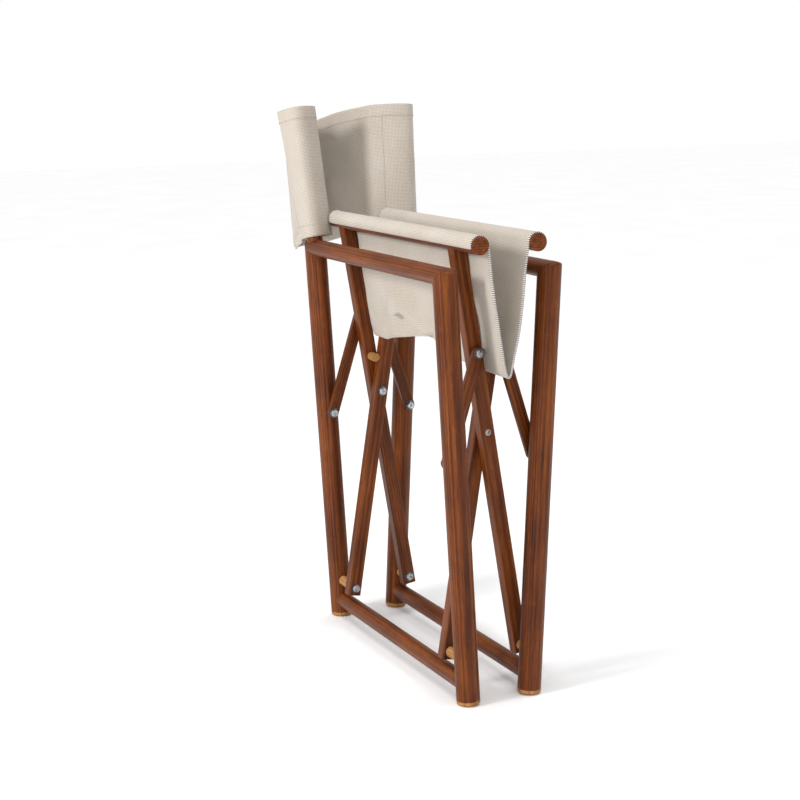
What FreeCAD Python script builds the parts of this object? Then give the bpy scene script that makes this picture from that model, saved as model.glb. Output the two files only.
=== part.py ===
"""Folding canvas arm chair, standing folded on its four feet.

Millimetres, +Z up.  X runs from the left side frame (-X) to the right one, Y from
front (-Y) to back, and the origin is under the middle of the folded chair, on the floor.
Two side frames stand on each side of two crossed pairs of legs.  A pair of legs carries
a seat rail at its top, and its feet turn on the other side's posts.  Short links hold
the legs to the posts.
"""
import FreeCAD, Part
import Sketcher
import math
import os

doc = FreeCAD.newDocument("folding_chair")

# ---------------------------------------------------------------- driving dimensions
DIMENSIONS = [
    ("depth_to_centre", 340.24, "front posts to the middle of the folded chair"),
    ("post_dia", 35.0, "round posts"),
    ("post_spacing", 466.0, "front post to rear post"),
    ("post_tilt", 3.0, "outward tilt of a side frame when folded, degrees"),
    ("pivot_up", 64.0, "underside of the feet to the leg pivots"),
    ("pivot_height", 64.7, "leg pivots above the floor"),
    ("arm_top", 640.0, "underside of the feet to the top of the arm"),
    ("arm_thick", 26.0, "oval arm rail, top to bottom"),
    ("arm_corner", 12.0, "rounding of the front top corner"),
    ("stretcher_dia", 26.0, "bottom stretchers"),
    ("stretcher_up", 29.0, "underside of the feet to the stretcher's middle"),
    ("foot_thick", 7.0, "turned foot under each post"),
    ("foot_chamfer", 2.5, "bevel round a foot"),
    ("upright_dia", 26.0, "back uprights"),
    ("upright_lean", 10.0, "backward lean of the uprights, degrees"),
    ("upright_length", 210.0, "back uprights above the arm"),
    ("upright_root", 10.0, "back uprights below the arm's top, before they are shaped to it"),
    ("leg_angle", 9.3, "legs from vertical when folded, degrees"),
    ("leg_lower", 333.0, "leg pivot to crossing bolt"),
    ("leg_upper", 281.0, "crossing bolt to the seat rail's middle"),
    ("leg_width", 22.0, "legs, seen from the front"),
    ("leg_thick", 19.0, "legs, front to back"),
    ("leg_tail", 13.0, "leg below its pivot"),
    ("leg_edge", 2.5, "rounding along the legs"),
    ("rail_dia", 26.0, "seat rails"),
    ("rail_front", 37.0, "seat rail in front of the front posts' middle"),
    ("rail_length", 507.0, "seat rails"),
    ("rail_edge", 2.0, "rounding of the seat rails' ends"),
    ("link_width", 18.0, "links"),
    ("link_thick", 9.0, "links, front to back"),
    ("link_length", 163.2, "link between its bolts"),
    ("link_on_post", 292.0, "leg pivot to the link's bolt, along the post"),
    ("link_on_leg", 120.0, "crossing bolt to the link's bolt, along the leg"),
    ("link_edge", 1.5, "rounding along the links"),
    ("layer_link", 20.0, "post's middle to the links"),
    ("layer_outer", 30.0, "post's middle to the left seat rail's legs"),
    ("layer_inner", 50.0, "post's middle to the right seat rail's legs"),
    ("bolt_dia", 6.0, "bolts"),
    ("bolt_head_dia", 12.0, "bolt heads"),
    ("bolt_head_high", 3.6, "bolt heads"),
    ("bolt_socket", 2.5, "hexagon socket, centre to corner"),
    ("washer_dia", 16.0, "washers"),
    ("washer_thick", 1.2, "washers"),
    ("insert_dia", 9.0, "threaded inserts in the wood"),
    ("insert_length", 12.0, "threaded inserts in the wood"),
    ("running", 0.05, "radial clearance of a turning fit"),
    ("spacer_dia", 16.0, "wooden spacers on the bolts"),
    ("stop_dia", 14.0, "pegs that stop the folding"),
    ("stop_length", 18.0, "pegs that stop the folding"),
    ("cloth", 1.4, "canvas"),
    ("cloth_gap", 0.4, "canvas to the wood that it passes"),
    ("seat_inset", 5.0, "bare seat rail at each end"),
    ("seat_depth", 497.0, "seat canvas, front to back"),
    ("seat_wall", 190.0, "hanging seat canvas, rail to fold"),
    ("seat_under", 20.0, "seat canvas below the rail's outer side, degrees"),
    ("band_height", 210.0, "back canvas"),
    ("band_up", 4.0, "arm to the back canvas"),
    ("back_depth", 225.0, "back uprights to the fold of the slack back canvas"),
    ("back_fold_x", 32.0, "middle of the chair to that fold, which lies to the left"),
    ("left_short", 7.8, "left wall's end to that fold"),
    ("right_short", 30.0, "right wall's end to that fold, clear of the left wall"),
    ("back_lap", 45.0, "right upright to where the back canvas turns rearward"),
    ("lap_back", 8.0, "right upright's middle to the back canvas beside it"),
]

dims = doc.addObject("Spreadsheet::Sheet", "dims")
for row, (alias, number, meaning) in enumerate(DIMENSIONS, start=1):
    dims.set(f"A{row}", alias)
    dims.set(f"B{row}", str(number))
    dims.set(f"C{row}", meaning)
    dims.setAlias(f"B{row}", alias)
doc.recompute()

VALUE = {alias: float(dims.get(alias)) for alias, number, meaning in DIMENSIONS}
X_AXIS = FreeCAD.Vector(1, 0, 0)
Y_AXIS = FreeCAD.Vector(0, 1, 0)
Z_AXIS = FreeCAD.Vector(0, 0, 1)
ORIGIN = FreeCAD.Vector(0, 0, 0)
LEFT = -1
RIGHT = 1
SIDES = {LEFT: "left", RIGHT: "right"}

nodes = []


# ---------------------------------------------------------------- building blocks
TURNS = {
    "z": FreeCAD.Rotation(),
    "y": FreeCAD.Rotation(X_AXIS, -90),
    "-y": FreeCAD.Rotation(X_AXIS, 90),
}


def bind(item, **formulas):
    """Tie an object's properties to formulas of the sheet."""
    for name, formula in formulas.items():
        item.setExpression(name, formula)


def part(kind, name):
    return doc.addObject("Part::" + kind, name)


def move_to(item, **position):
    """Tie the coordinates that are named, such as z="dims.arm_top", and leave the others."""
    for axis, formula in position.items():
        item.setExpression("Placement.Base." + axis, formula)


def cylinder(name, radius, height, along="z", **position):
    """A round bar whose radius, height and starting point are formulas."""
    bar = part("Cylinder", name)
    bar.Placement = FreeCAD.Placement(ORIGIN, TURNS[along])
    bind(bar, Radius=radius, Height=height)
    move_to(bar, **position)
    return bar


def box(name, length, width, height, **position):
    block = part("Box", name)
    bind(block, Length=length, Width=width, Height=height)
    move_to(block, **position)
    return block


def group(name, members):
    result = part("Compound", name)
    result.Links = list(members)
    return result


def cut(name, base, *tools):
    result = part("Cut", name)
    result.Base = base
    result.Tool = tools[0] if len(tools) == 1 else group(name + "_tools", tools)
    return result


def common(name, base, tool):
    result = part("Common", name)
    result.Base = base
    result.Tool = tool
    return result


def fuse(name, *shapes):
    result = part("MultiFuse", name)
    result.Shapes = list(shapes)
    result.Refine = True
    return result


def rounded(name, base, wanted, radius):
    """The base with every edge that wanted(edge) picks rounded."""
    doc.recompute()
    result = part("Fillet", name)
    result.Base = base
    picked = [number for number, edge in enumerate(base.Shape.Edges, start=1) if wanted(edge)]
    result.Edges = [(number, radius, radius) for number in picked]
    return result


def finish(item, label, placement=None):
    """Name a finished sub-part, put it in its place and keep it for export."""
    item.Label = label
    if placement is not None:
        item.Placement = placement
    nodes.append(item)
    return item


def flat_bar(name, width, low, high, thickness):
    """A flat upright bar centred on its own Y, from a sketch of its front."""
    body = doc.addObject("PartDesign::Body", name)
    plane = next(item for item in body.Origin.OriginFeatures if item.Role == "XZ_Plane")
    sketch = body.newObject("Sketcher::SketchObject", name + "_front")
    sketch.AttachmentSupport = [(plane, "")]
    sketch.MapMode = "FlatFace"
    corners = [(-1, -1), (1, -1), (1, 1), (-1, 1)]
    for first, second in zip(corners, corners[1:] + corners[:1]):
        sketch.addGeometry(Part.LineSegment(FreeCAD.Vector(*first, 0), FreeCAD.Vector(*second, 0)))
    for line in range(4):
        sketch.addConstraint(Sketcher.Constraint("Coincident", line, 2, (line + 1) % 4, 1))
        sketch.addConstraint(Sketcher.Constraint("Vertical" if line % 2 else "Horizontal", line))
    spans = [
        ("half_left", Sketcher.Constraint("DistanceX", 0, 1, -1, 1, 1.0), f"({width}) / 2"),
        ("half_right", Sketcher.Constraint("DistanceX", -1, 1, 0, 2, 1.0), f"({width}) / 2"),
        ("below", Sketcher.Constraint("DistanceY", 0, 1, -1, 1, 1.0), low),
        ("above", Sketcher.Constraint("DistanceY", -1, 1, 2, 1, 1.0), high),
    ]
    for span, constraint, formula in spans:
        number = sketch.addConstraint(constraint)
        sketch.renameConstraint(number, span)
        sketch.setExpression("Constraints." + span, formula)
    pad = body.newObject("PartDesign::Pad", name + "_bar")
    pad.Profile = sketch
    pad.Midplane = True
    bind(pad, Length=thickness)
    return body


def rim_at(y):
    """Picks round edges that lie flat at the given Y."""
    return lambda edge: edge.BoundBox.YLength < 0.01 and abs(edge.BoundBox.YMin - y) < 0.01


def on_flat_faces(half):
    """Picks the edges round the two flat faces of a bar in the XZ plane."""
    return lambda edge: rim_at(half)(edge) or rim_at(-half)(edge)


# ---------------------------------------------------------------- where things stand
PIVOT_X = VALUE["leg_lower"] * math.sin(math.radians(VALUE["leg_angle"]))
LEG_LENGTH = VALUE["leg_lower"] + VALUE["leg_upper"]
BOTH_ENDS = {"front": 1, "rear": -1}    # direction along Y towards the middle of the chair


def frame_place(side):
    """A side frame's axes: Z up the posts from the leg pivot, Y back from the front post."""
    start = FreeCAD.Vector(side * PIVOT_X, -VALUE["depth_to_centre"], VALUE["pivot_height"])
    return FreeCAD.Placement(start, FreeCAD.Rotation(Y_AXIS, side * VALUE["post_tilt"]))


def legs_place(rail_side):
    """A pair of legs' axes: Z up the legs from their pivots on the other side's posts."""
    start = FreeCAD.Vector(-rail_side * PIVOT_X, -VALUE["depth_to_centre"], VALUE["pivot_height"])
    return FreeCAD.Placement(start, FreeCAD.Rotation(Y_AXIS, rail_side * VALUE["leg_angle"]))


def shifted(placement, x=0.0, y=0.0, z=0.0):
    return placement.multiply(FreeCAD.Placement(FreeCAD.Vector(x, y, z), FreeCAD.Rotation()))


def from_post(distance, end):
    """Y of a plane that lies a distance inward of the front or rear post's middle."""
    return distance if end == "front" else VALUE["post_spacing"] - distance


def links_place(side):
    """A pair of links' axes: Z up the link from its bolt on the post."""
    frame = frame_place(side)
    foot = frame.multVec(FreeCAD.Vector(0, 0, VALUE["link_on_post"]))
    along_leg = FreeCAD.Vector(0, 0, VALUE["leg_lower"] + VALUE["link_on_leg"])
    top = legs_place(side).multVec(along_leg)
    lean = math.degrees(math.atan2(top.x - foot.x, top.z - foot.z))
    return FreeCAD.Placement(foot, FreeCAD.Rotation(Y_AXIS, lean))


# ---------------------------------------------------------------- fasteners
HEAD_EDGE = 1.3       # rounding of a bolt's head
SOCKET_FLOOR = 1.4    # underside of a bolt's head to the bottom of its socket


def bolt(name, length, placement, facing):
    """A socket head bolt along Y: the head's underside is at the placement and the head
    points along facing, +1 or -1; the shank runs the other way."""
    out, back = ("y", "-y") if facing > 0 else ("-y", "y")
    shank = cylinder(name + "_shank", "dims.bolt_dia / 2", str(length), along=back)
    blank = cylinder(name + "_blank", "dims.bolt_head_dia / 2", "dims.bolt_head_high", along=out)
    crown = rounded(name + "_crown", blank, rim_at(facing * VALUE["bolt_head_high"]), HEAD_EDGE)
    socket = part("Prism", name + "_socket")
    socket.Placement = FreeCAD.Placement(FreeCAD.Vector(0, facing * SOCKET_FLOOR, 0), TURNS[out])
    bind(socket, Circumradius="dims.bolt_socket", Height="dims.bolt_head_high")
    solid = cut(name, fuse(name + "_headed", crown, shank), socket)
    solid.Placement = placement
    return solid


def ring(name, outer, inner, length, placement):
    """A washer, spacer or insert along Y, whose front face is at the placement."""
    tube = cut(name, cylinder(name + "_outer", outer, length, along="y"),
               cylinder(name + "_inner", inner, length, along="y"))
    tube.Placement = placement
    return tube


def washer(name, placement):
    return ring(name, "dims.washer_dia / 2", "dims.bolt_dia / 2", "dims.washer_thick", placement)


def head_stack(name, placement, face, end, facing, length):
    """A washer on a face and the bolt through it; face is measured inward from the post."""
    near = face if facing == BOTH_ENDS[end] else -face
    thick = VALUE["washer_thick"]
    face_y = from_post(face, end)
    front_of_washer = face_y if facing > 0 else face_y - thick
    disc = washer(name + "_washer", shifted(placement, y=front_of_washer))
    screw = bolt(name + "_bolt", length + thick, shifted(placement, y=face_y + facing * thick), facing)
    return disc, screw


def bolted(label, placement, face, facing_inward, length):
    """Washers and bolts, front and rear, as two nodes."""
    washers, bolts = [], []
    for end, inward in BOTH_ENDS.items():
        facing = inward if facing_inward else -inward
        disc, screw = head_stack(f"{label}_{end}", placement, face, end, facing, length)
        washers.append(disc)
        bolts.append(screw)
    finish(group(label + "_washer_pair", washers), label + "_washers")
    finish(group(label + "_bolt_pair", bolts), label + "_bolts")


def spacer_pair(label, placement, start, stop, clearance):
    """Wooden spacers between two distances inward of the post's middle."""
    members = []
    for end, inward in BOTH_ENDS.items():
        first = min(from_post(start, end), from_post(stop, end))
        bore = f"dims.bolt_dia / 2 + {clearance}"
        members.append(ring(f"{label}_{end}", "dims.spacer_dia / 2", bore, str(stop - start),
                            shifted(placement, y=first)))
    return finish(group(label + "_pair", members), label)


# ---------------------------------------------------------------- side frames
ARM_MIDDLE = "dims.arm_top - dims.pivot_up - dims.arm_thick / 2"
INSERT_START = -4.0    # an insert's outer end, inward of the post's middle


def arm_bar(name):
    """The oval arm's full-length bar, which also shapes the wood that meets it."""
    oval = part("Ellipse", name + "_oval")
    oval.Placement = FreeCAD.Placement(ORIGIN, TURNS["-y"])
    bind(oval, MajorRadius="dims.post_dia / 2", MinorRadius="dims.arm_thick / 2")
    move_to(oval, y="-dims.post_dia", z=ARM_MIDDLE)
    bar = part("Extrusion", name)
    bar.Base = oval
    bar.DirMode = "Custom"
    bar.Dir = Y_AXIS
    bar.Solid = True
    bind(bar, LengthFwd="dims.post_spacing + 2 * dims.post_dia")
    return bar


def mitre_block(name):
    """Everything above and behind the plane where the front post meets the arm."""
    size = 2 * VALUE["post_spacing"]
    slope = math.degrees(math.atan2(VALUE["arm_thick"], VALUE["post_dia"]))
    middle = VALUE["arm_top"] - VALUE["pivot_up"] - VALUE["arm_thick"] / 2
    turn = FreeCAD.Rotation(X_AXIS, -slope)
    corner = turn.multVec(FreeCAD.Vector(-size / 2, -size / 2, 0))
    block = box(name, str(size), str(size), str(size))
    block.Placement = FreeCAD.Placement(corner + FreeCAD.Vector(0, 0, middle), turn)
    return block


def corner_block(name):
    """A block as deep and high as a side frame, rounded along its front top edge."""
    block = box(name + "_block", "4 * dims.post_dia", "2 * dims.post_spacing", "2 * dims.arm_top",
                x="-2 * dims.post_dia", y="-dims.post_dia / 2", z="-dims.arm_top - dims.pivot_up")

    def front_top(edge):
        spans_x = edge.BoundBox.XLength > VALUE["post_dia"]
        return spans_x and edge.BoundBox.YMax < 0 and edge.BoundBox.ZMin > 0

    return rounded(name, block, front_top, VALUE["arm_corner"])


def end_block(name):
    """The arm's outline from above: straight sides and a half-round rear end."""
    sides = box(name + "_sides", "dims.post_dia", "dims.post_spacing + dims.post_dia",
                "2 * dims.arm_top", x="-dims.post_dia / 2", y="-dims.post_dia")
    end = cylinder(name + "_end", "dims.post_dia / 2", "2 * dims.arm_top", y="dims.post_spacing")
    return fuse(name, sides, end)


def post_bores(name, end):
    """Holes for the inserts, and past them for the bolts, in a post's inner side."""
    inward = BOTH_ENDS[end]
    along = "y" if inward > 0 else "-y"
    bores = []
    for use, up in (("leg", "0"), ("link", "dims.link_on_post")):
        deep = str(from_post(INSERT_START, end))
        bores.append(cylinder(f"{name}_{use}_bore", "dims.insert_dia / 2", "dims.post_dia",
                              y=deep, z=up, along=along))
    return bores


def side_frame(side, bar, mitre, corner, ending):
    """The wooden pieces of one side frame, each in the frame's axes."""
    name = SIDES[side]
    seat = frame_place(side)
    low = "dims.foot_thick - dims.pivot_up"
    high = "dims.arm_top - dims.foot_thick"

    front = cylinder(f"{name}_front_round", "dims.post_dia / 2", high, z=low)
    mitred = cut(f"{name}_front_mitred", front, mitre)
    cornered = common(f"{name}_front_cornered", mitred, corner)
    front_bores = post_bores(f"{name}_front", "front")
    finish(cut(f"{name}_front", cornered, *front_bores), f"{name}_front_post", seat)

    rear = cylinder(f"{name}_rear_round", "dims.post_dia / 2", f"{high} - dims.arm_thick / 2",
                    y="dims.post_spacing", z=low)
    rear_bores = post_bores(f"{name}_rear", "rear")
    finish(cut(f"{name}_rear", rear, bar, *rear_bores), f"{name}_rear_post", seat)

    mitred_arm = common(f"{name}_arm_mitred", bar, mitre)
    cornered_arm = common(f"{name}_arm_cornered", mitred_arm, corner)
    finish(common(f"{name}_arm", cornered_arm, ending), f"{name}_arm_rail", seat)

    stretcher = cylinder(f"{name}_stretcher_round", "dims.stretcher_dia / 2", "dims.post_spacing",
                         z="dims.stretcher_up - dims.pivot_up", along="y")
    finish(cut(f"{name}_stretcher_coped", stretcher, front, rear), f"{name}_stretcher", seat)

    upright = cylinder(f"{name}_upright_round", "dims.upright_dia / 2",
                       "dims.upright_length + dims.upright_root")
    upright.Placement = FreeCAD.Placement(ORIGIN, FreeCAD.Rotation(X_AXIS, -VALUE["upright_lean"]))
    move_to(upright, y="dims.post_spacing - dims.upright_root * sin(dims.upright_lean * 1deg)",
            z="dims.arm_top - dims.pivot_up - dims.upright_root * cos(dims.upright_lean * 1deg)")
    finish(cut(f"{name}_upright_coped", upright, bar), f"{name}_back_upright", seat)

    feet = []
    for end, y in (("front", "0"), ("rear", "dims.post_spacing")):
        bevel = part("Cone", f"{name}_{end}_foot_bevel")
        bind(bevel, Radius1="dims.post_dia / 2 - dims.foot_chamfer", Radius2="dims.post_dia / 2",
             Height="dims.foot_chamfer")
        move_to(bevel, y=y, z="-dims.pivot_up")
        disc = cylinder(f"{name}_{end}_foot_disc", "dims.post_dia / 2",
                        "dims.foot_thick - dims.foot_chamfer", y=y, z="dims.foot_chamfer - dims.pivot_up")
        feet.append(fuse(f"{name}_{end}_foot", bevel, disc))
    finish(group(f"{name}_foot_pair", feet), f"{name}_feet", seat)

    inserts = []
    for end in BOTH_ENDS:
        for use, up, inner in (("leg", 0.0, "dims.bolt_dia / 2 + dims.running"),
                               ("link", VALUE["link_on_post"], "dims.bolt_dia / 2")):
            if side == RIGHT:
                inner = "dims.bolt_dia / 2"
            y = from_post(INSERT_START, end)
            if end == "rear":
                y -= VALUE["insert_length"]
            inserts.append(ring(f"{name}_{end}_{use}_insert", "dims.insert_dia / 2", inner,
                                "dims.insert_length", shifted(seat, y=y, z=up)))
    finish(group(f"{name}_insert_set", inserts), f"{name}_post_inserts")


# ---------------------------------------------------------------- crossed legs and links
def seat_rail(side):
    """A seat rail in its legs' axes, rounded at both ends; returns the bar before rounding."""
    name = SIDES[side]
    front = -VALUE["rail_front"]
    bar = cylinder(f"{name}_rail_round", "dims.rail_dia / 2", "dims.rail_length",
                   y="-dims.rail_front", z="dims.leg_lower + dims.leg_upper", along="y")
    ends = (rim_at(front), rim_at(front + VALUE["rail_length"]))
    rail = rounded(f"{name}_rail", bar, lambda edge: ends[0](edge) or ends[1](edge), VALUE["rail_edge"])
    finish(rail, f"{name}_seat_rail", legs_place(side))
    return bar


def leg(side, end, layer, rail_bar, pivot_hole, crossing_hole):
    """A leg between its pivot on one side's post and the other side's seat rail."""
    name = f"{SIDES[side]}_{end}"
    bar = flat_bar(f"{name}_leg_bar", "dims.leg_width", "dims.leg_tail",
                   "dims.leg_lower + dims.leg_upper", "dims.leg_thick")
    eased = rounded(f"{name}_leg_eased", bar, on_flat_faces(VALUE["leg_thick"] / 2), VALUE["leg_edge"])
    middle = from_post(layer + VALUE["leg_thick"] / 2, end)
    top = cylinder(f"{name}_leg_saddle", "dims.rail_dia / 2", "2 * dims.leg_thick",
                   y="-dims.leg_thick", z="dims.leg_lower + dims.leg_upper", along="y")
    pivot = cylinder(f"{name}_leg_pivot", pivot_hole, "2 * dims.leg_thick", y="-dims.leg_thick",
                     along="y")
    crossing = cylinder(f"{name}_leg_crossing", crossing_hole, "2 * dims.leg_thick",
                        y="-dims.leg_thick", z="dims.leg_lower", along="y")
    solid = cut(f"{name}_leg_shaped", eased, top, pivot, crossing)
    return finish(solid, f"{name}_leg", shifted(legs_place(side), y=middle))


def link(side, end, post_hole, leg_hole):
    """A short link between a post and the leg that carries the same side's seat rail."""
    name = f"{SIDES[side]}_{end}"
    half = "-dims.link_thick / 2"
    bar = box(f"{name}_link_bar", "dims.link_width", "dims.link_thick", "dims.link_length",
              x="-dims.link_width / 2", y=half)
    low = cylinder(f"{name}_link_low", "dims.link_width / 2", "dims.link_thick", y=half, along="y")
    high = cylinder(f"{name}_link_high", "dims.link_width / 2", "dims.link_thick", y=half,
                    z="dims.link_length", along="y")
    outline = fuse(f"{name}_link_outline", bar, low, high)
    faces = on_flat_faces(VALUE["link_thick"] / 2)
    eased = rounded(f"{name}_link_eased", outline, faces, VALUE["link_edge"])
    holes = [
        cylinder(f"{name}_link_hole_low", post_hole, "2 * dims.link_thick", y="-dims.link_thick",
                 along="y"),
        cylinder(f"{name}_link_hole_high", leg_hole, "2 * dims.link_thick", y="-dims.link_thick",
                 z="dims.link_length", along="y"),
    ]
    middle = from_post(VALUE["layer_link"] + VALUE["link_thick"] / 2, end)
    return finish(cut(f"{name}_link_drilled", eased, *holes), f"{name}_link",
                  shifted(links_place(side), y=middle))


# ---------------------------------------------------------------- canvas
def sleeve(side):
    """The pocket of the back canvas round an upright."""
    name = SIDES[side]
    gap = "dims.upright_dia / 2 + dims.cloth_gap"
    outer = cylinder(f"{name}_sleeve_outer", f"{gap} + dims.cloth", "dims.band_height", z="dims.band_up")
    inner = cylinder(f"{name}_sleeve_inner", gap, "dims.band_height", z="dims.band_up")
    return finish(cut(f"{name}_sleeve", outer, inner), f"{name}_back_sleeve", upright_place(side))


def upright_place(side):
    """An upright's axes: Z up the upright from the arm's top, Y backward square to it."""
    foot = shifted(frame_place(side), y=VALUE["post_spacing"], z=VALUE["arm_top"] - VALUE["pivot_up"])
    return foot.multiply(FreeCAD.Placement(ORIGIN, FreeCAD.Rotation(X_AXIS, -VALUE["upright_lean"])))


def half_gap(side, up):
    """Distance of a point up an upright from the folded chair's middle plane."""
    return abs(upright_place(side).multVec(FreeCAD.Vector(0, 0, up)).x)


def behind_upright(side, inward, back, up):
    """A point given by its distances from an upright: inward, backward and up along it."""
    return upright_place(side).multVec(FreeCAD.Vector(-side * inward, back, up))


def sheet(name, label, corners, thickness):
    """A flat panel of canvas through four corners, with its thickness to both sides."""
    outline = Part.makePolygon(corners + corners[:1])
    face = Part.Face(outline)
    normal = face.normalAt(0, 0)
    face.translate(normal * (-thickness / 2))
    panel = part("Feature", name)
    panel.Shape = face.extrude(normal * thickness)
    return finish(panel, label)


def back_panel(side, label, start, end):
    """A panel of the back canvas between two points, each inward and backward of an upright."""
    low = VALUE["band_up"]
    high = low + VALUE["band_height"]
    corners = [behind_upright(side, *point, up) for point, up in
               ((start, low), (end, low), (end, high), (start, high))]
    sheet(f"{label}_panel", label, corners, VALUE["cloth"])


def along(start, end, distance):
    """The point a distance from start on the way to end."""
    share = distance / math.dist(start, end)
    return tuple(a + share * (b - a) for a, b in zip(start, end))


def back_canvas():
    """The slack back canvas: from each upright back to a fold left of the middle."""
    middle = VALUE["band_up"] + VALUE["band_height"] / 2
    depth = VALUE["back_depth"]
    clear = VALUE["upright_dia"] / 2 + 3 * VALUE["cloth"]

    left_fold = (half_gap(LEFT, middle) - VALUE["back_fold_x"], depth)
    left_start = along((0, 0), left_fold, clear)
    left_end = along(left_fold, (0, 0), VALUE["left_short"])
    back_panel(LEFT, "left_back_wall", left_start, left_end)

    turn = (VALUE["back_lap"], VALUE["lap_back"])
    right_fold = (half_gap(RIGHT, middle) + VALUE["back_fold_x"], depth)
    back_panel(RIGHT, "right_back_lap", (clear, turn[1]), along(turn, (clear, turn[1]), 2 * VALUE["cloth"]))
    wall_start = along(turn, right_fold, 2 * VALUE["cloth"])
    wall_end = along(right_fold, turn, VALUE["right_short"])
    back_panel(RIGHT, "right_back_wall", wall_start, wall_end)


def seat_wrap(side):
    """The seat canvas where it is fixed round the outer side of its rail."""
    name = SIDES[side]
    gap = VALUE["rail_dia"] / 2 + 0.05
    tube = Part.makeCylinder(gap + VALUE["cloth"], VALUE["seat_depth"], ORIGIN, Y_AXIS)
    tube = tube.cut(Part.makeCylinder(gap, VALUE["seat_depth"], ORIGIN, Y_AXIS))
    size = 4 * VALUE["rail_dia"]
    quarter = Part.makeBox(size, VALUE["seat_depth"], size, FreeCAD.Vector(-size, 0, 0))
    under = quarter.copy()
    under.rotate(ORIGIN, Y_AXIS, -VALUE["seat_under"])
    solid = tube.common(quarter.fuse(under))
    if side == RIGHT:
        solid = solid.mirror(ORIGIN, X_AXIS)
    wrap = part("Feature", f"{name}_wrap")
    wrap.Shape = solid.removeSplitter()
    return finish(wrap, f"{name}_seat_wrap", rail_middle(side))


def rail_middle(side):
    """The seat rail's axis at the seat canvas's front edge, without the legs' slant."""
    point = shifted(legs_place(side), y=VALUE["seat_inset"] - VALUE["rail_front"], z=LEG_LENGTH)
    return FreeCAD.Placement(point.Base, FreeCAD.Rotation())


def seat_panel(side):
    """Half of the seat canvas, hanging from its rail's inner side to the fold."""
    name = SIDES[side]
    axes = rail_middle(side)
    stand_off = VALUE["rail_dia"] / 2 + VALUE["cloth_gap"] + VALUE["cloth"]
    across = abs(axes.Base.x) - stand_off - VALUE["cloth"]
    drop = math.sqrt(VALUE["seat_wall"] ** 2 - across ** 2)
    top = axes.Base + FreeCAD.Vector(-side * stand_off, 0, 0)
    low = top + FreeCAD.Vector(-side * across, 0, -drop)
    deep = FreeCAD.Vector(0, VALUE["seat_depth"], 0)
    sheet(f"{name}_panel", f"{name}_seat_canvas", [top, top + deep, low + deep, low], VALUE["cloth"])


# ---------------------------------------------------------------- the chair
def build_chair():
    bar = arm_bar("arm_bar")
    mitre = mitre_block("mitre")
    corner = corner_block("corner")
    ending = end_block("ending")
    for side in SIDES:
        side_frame(side, bar, mitre, corner, ending)

    tight = "dims.bolt_dia / 2"
    turning = "dims.bolt_dia / 2 + dims.running"
    insert = "dims.insert_dia / 2"
    layers = {LEFT: VALUE["layer_outer"], RIGHT: VALUE["layer_inner"]}
    for side, layer in layers.items():
        rail_bar = seat_rail(side)
        crossing = insert if side == LEFT else tight
        for end in BOTH_ENDS:
            leg(side, end, layer, rail_bar, turning, crossing)

    thick = VALUE["leg_thick"]
    post_face = VALUE["post_dia"] / 2
    gap = VALUE["layer_outer"] - VALUE["layer_link"] - VALUE["link_thick"]
    for side, layer in layers.items():
        foot_side = -side
        name = SIDES[foot_side]
        inner = layer + thick
        foot = frame_place(foot_side)
        bolted(f"{name}_leg", foot, inner, True, inner - INSERT_START - 1)
        clearance = "dims.running" if foot_side == LEFT else "0"
        spacer_pair(f"{name}_leg_spacers", foot, post_face, layer - gap / 2, clearance)

    inner = VALUE["layer_inner"] + thick
    crossing = shifted(legs_place(RIGHT), z=VALUE["leg_lower"])
    bolted("crossing", crossing, inner, True, inner - VALUE["layer_outer"] - 4)
    inserts = []
    for end in BOTH_ENDS:
        middle = from_post(VALUE["layer_outer"] + thick / 2, end)
        inserts.append(ring(f"crossing_{end}_insert", "dims.insert_dia / 2", turning, str(thick),
                            shifted(crossing, y=middle - thick / 2)))
    finish(group("crossing_insert_pair", inserts), "crossing_inserts")

    for side in SIDES:
        name = SIDES[side]
        for end in BOTH_ENDS:
            link(side, end, turning, tight)
        outer = VALUE["layer_link"]
        inner = outer + VALUE["link_thick"]
        on_post = shifted(frame_place(side), z=VALUE["link_on_post"])
        bolted(f"{name}_link_foot", on_post, inner, True, inner - INSERT_START - 1)
        washers = []
        for end in BOTH_ENDS:
            first = min(from_post(post_face, end), from_post(outer - gap / 2, end))
            washers.append(ring(f"{name}_{end}_post_washer", "dims.washer_dia / 2", tight,
                                str(outer - gap / 2 - post_face), shifted(on_post, y=first)))
        finish(group(f"{name}_post_washer_pair", washers), f"{name}_post_washers")
        top = shifted(links_place(side), z=VALUE["link_length"])
        bolted(f"{name}_link_top", top, outer, False, VALUE["link_thick"])

    on_leg = shifted(legs_place(RIGHT), z=VALUE["leg_lower"] + VALUE["link_on_leg"])
    link_face = VALUE["layer_link"] + VALUE["link_thick"]
    spacer_pair("right_link_spacers", on_leg, link_face + gap / 2, VALUE["layer_inner"], "0")

    pegs = []
    crossing_angle = math.radians(2 * VALUE["leg_angle"])
    reach = (VALUE["leg_width"] + VALUE["stop_dia"]) / 2
    up = VALUE["leg_lower"] + reach / math.sin(crossing_angle) + VALUE["running"]
    face = VALUE["layer_outer"] + thick
    for end in BOTH_ENDS:
        first = min(from_post(face, end), from_post(face + VALUE["stop_length"], end))
        peg = cylinder(f"stop_{end}", "dims.stop_dia / 2", "dims.stop_length", along="y")
        start = shifted(legs_place(LEFT), y=first, z=up)
        peg.Placement = start.multiply(FreeCAD.Placement(ORIGIN, TURNS["y"]))
        pegs.append(peg)
    finish(group("stop_peg_pair", pegs), "stop_pegs")

    back_canvas()
    for side in SIDES:
        sleeve(side)
        seat_wrap(side)
        seat_panel(side)


build_chair()
doc.recompute()

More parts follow.
